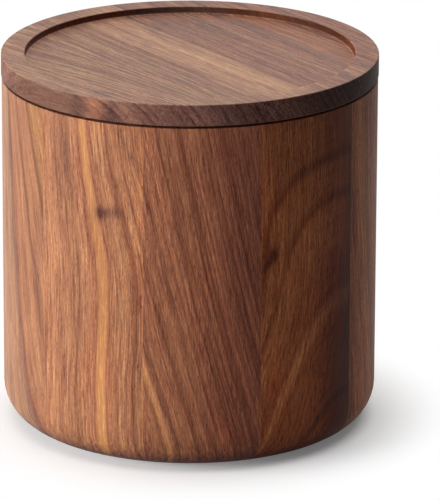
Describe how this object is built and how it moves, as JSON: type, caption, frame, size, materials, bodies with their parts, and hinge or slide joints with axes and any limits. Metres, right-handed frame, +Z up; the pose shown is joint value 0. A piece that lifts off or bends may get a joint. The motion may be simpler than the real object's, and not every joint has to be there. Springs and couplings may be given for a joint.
{
  "type": "lidded wooden canister",
  "caption": "Straight-sided turned walnut canister of glued staves with a rounded foot, a drop-in base panel and a lift-off plug lid with a shallow tray on top.",
  "frame": {"origin": "centre of the foot, on the surface the canister stands on", "axes": "+Z up along the turning axis, towards the lid; -Y towards the side that the picture shows"},
  "size_m": [0.1204, 0.1204, 0.1213],
  "materials": {
    "stave_walnut": "satin oil, upright grain",
    "base_walnut": "satin oil, flat grain",
    "lid_walnut": "satin oil, flat grain"
  },
  "bodies": {
    "canister": {"stave_01": "stave_walnut", "stave_02": "stave_walnut", "stave_03": "stave_walnut", "stave_04": "stave_walnut", "stave_05": "stave_walnut", "stave_06": "stave_walnut", "stave_07": "stave_walnut", "stave_08": "stave_walnut", "stave_09": "stave_walnut", "stave_10": "stave_walnut", "base_strip_1": "base_walnut", "base_strip_2": "base_walnut", "base_strip_3": "base_walnut", "base_strip_4": "base_walnut", "base_strip_5": "base_walnut"},
    "lid": {"lid_strip_1": "lid_walnut", "lid_strip_2": "lid_walnut", "lid_strip_3": "lid_walnut", "lid_strip_4": "lid_walnut", "lid_strip_5": "lid_walnut"}
  },
  "joints": [
    {"name": "lid_lift", "type": "slide", "parent": "canister", "child": "lid", "axis": [0, 0, 1], "range_m": [0, 0.08]}
  ]
}
